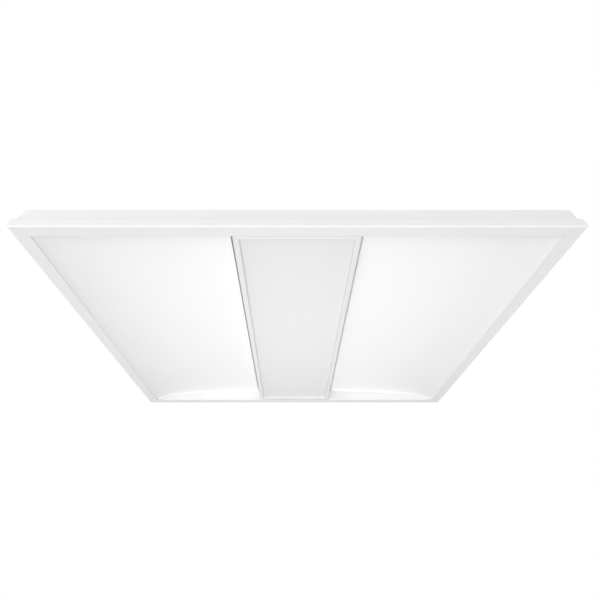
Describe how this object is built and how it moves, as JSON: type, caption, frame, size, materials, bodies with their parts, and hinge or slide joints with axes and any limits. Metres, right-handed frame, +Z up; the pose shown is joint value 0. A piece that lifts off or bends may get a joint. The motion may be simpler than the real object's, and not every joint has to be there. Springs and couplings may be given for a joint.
{
  "type": "recessed troffer light",
  "caption": "Square recessed ceiling light: white curved side reflectors beside a flat framed centre lens, wiring box with hinged cover on its back, swing-out grid clips.",
  "frame": {"origin": "centre of the square face, on the underside of its flange, which is the ceiling plane", "axes": "+Z up into the ceiling void; Y runs along the centre lens; X across it; front is -Y"},
  "size_m": [0.603, 0.603, 0.0777],
  "materials": {
    "white_enamel": "satin powder coat",
    "diffuser": "frosted, fine diagonal lattice on its lower face",
    "rail_aluminium": "mill finish extrusion",
    "galvanised_steel": "zinc coated, faint spangle",
    "spring_steel": "zinc plated",
    "fastener_steel": "zinc plated",
    "tinned_copper": "tinned",
    "board_white": "white solder mask",
    "led_phosphor": "yellow phosphor",
    "connector_nylon": "moulded",
    "driver_case": "pale grey, semi-gloss",
    "board_green": "green solder mask",
    "component_black": "moulded",
    "bushing_nylon": "moulded",
    "terminal_plastic": "moulded",
    "insulation_red": "extruded",
    "insulation_blue": "extruded",
    "insulation_grey": "extruded",
    "insulation_black": "extruded",
    "insulation_white": "extruded",
    "insulation_green": "extruded"
  },
  "bodies": {
    "housing": {"frame_rail_front": "white_enamel", "frame_rail_right": "white_enamel", "frame_rail_back": "white_enamel", "frame_rail_left": "white_enamel", "housing_pan": "white_enamel", "reflector_right": "white_enamel", "reflector_left": "white_enamel", "end_wall_front": "white_enamel", "end_wall_back": "white_enamel", "engine_channel": "white_enamel", "lens_rail_right": "rail_aluminium", "lens_rail_left": "rail_aluminium", "corner_keys": "galvanised_steel", "driver_box": "galvanised_steel", "knockout_disc": "galvanised_steel", "hinge_leaf": "galvanised_steel", "hanger_tabs": "galvanised_steel", "channel_rivets": "fastener_steel", "board_screws": "fastener_steel", "driver_box_screws": "fastener_steel", "driver_screws": "fastener_steel", "ground_screw": "fastener_steel", "clip_rivets": "fastener_steel", "hinge_pin": "fastener_steel", "ground_lug": "tinned_copper", "led_board_right": "board_white", "led_board_left": "board_white", "led_packages_right": "led_phosphor", "led_packages_left": "led_phosphor", "board_connectors": "connector_nylon", "driver_base": "driver_case", "driver_cover": "driver_case", "driver_board": "board_green", "driver_components": "component_black", "lead_bushing": "bushing_nylon", "terminal_block": "terminal_plastic", "lead_positive": "insulation_red", "lead_negative": "insulation_blue", "board_link_lead": "insulation_grey", "line_lead": "insulation_black", "neutral_lead": "insulation_white", "ground_lead": "insulation_green"},
    "lens_assembly": {"lens": "diffuser", "lens_frame_right": "white_enamel", "lens_frame_left": "white_enamel", "lens_frame_front": "white_enamel", "lens_frame_back": "white_enamel"},
    "access_cover": {"access_cover": "galvanised_steel"},
    "grid_clip_right_front": {"grid_clip_right_front": "spring_steel"},
    "grid_clip_right_back": {"grid_clip_right_back": "spring_steel"},
    "grid_clip_left_front": {"grid_clip_left_front": "spring_steel"},
    "grid_clip_left_back": {"grid_clip_left_back": "spring_steel"}
  },
  "joints": [
    {"name": "lens_drop", "type": "slide", "parent": "housing", "child": "lens_assembly", "axis": [0, 0, -1], "range_m": [0, 0.06]},
    {"name": "access_cover_hinge", "type": "hinge", "parent": "housing", "child": "access_cover", "pos_m": [0, 0.057, 0.0755], "axis": [1, 0, 0], "range_deg": [0, 110]},
    {"name": "grid_clip_right_front_swing", "type": "hinge", "parent": "housing", "child": "grid_clip_right_front", "pos_m": [0.2699, -0.19, 0.0289], "axis": [0, 0, -1], "range_deg": [0, 90]},
    {"name": "grid_clip_right_back_swing", "type": "hinge", "parent": "housing", "child": "grid_clip_right_back", "pos_m": [0.2699, 0.19, 0.0289], "axis": [0, 0, 1], "range_deg": [0, 90]},
    {"name": "grid_clip_left_front_swing", "type": "hinge", "parent": "housing", "child": "grid_clip_left_front", "pos_m": [-0.2699, -0.19, 0.0289], "axis": [0, 0, 1], "range_deg": [0, 90]},
    {"name": "grid_clip_left_back_swing", "type": "hinge", "parent": "housing", "child": "grid_clip_left_back", "pos_m": [-0.2699, 0.19, 0.0289], "axis": [0, 0, -1], "range_deg": [0, 90]}
  ]
}
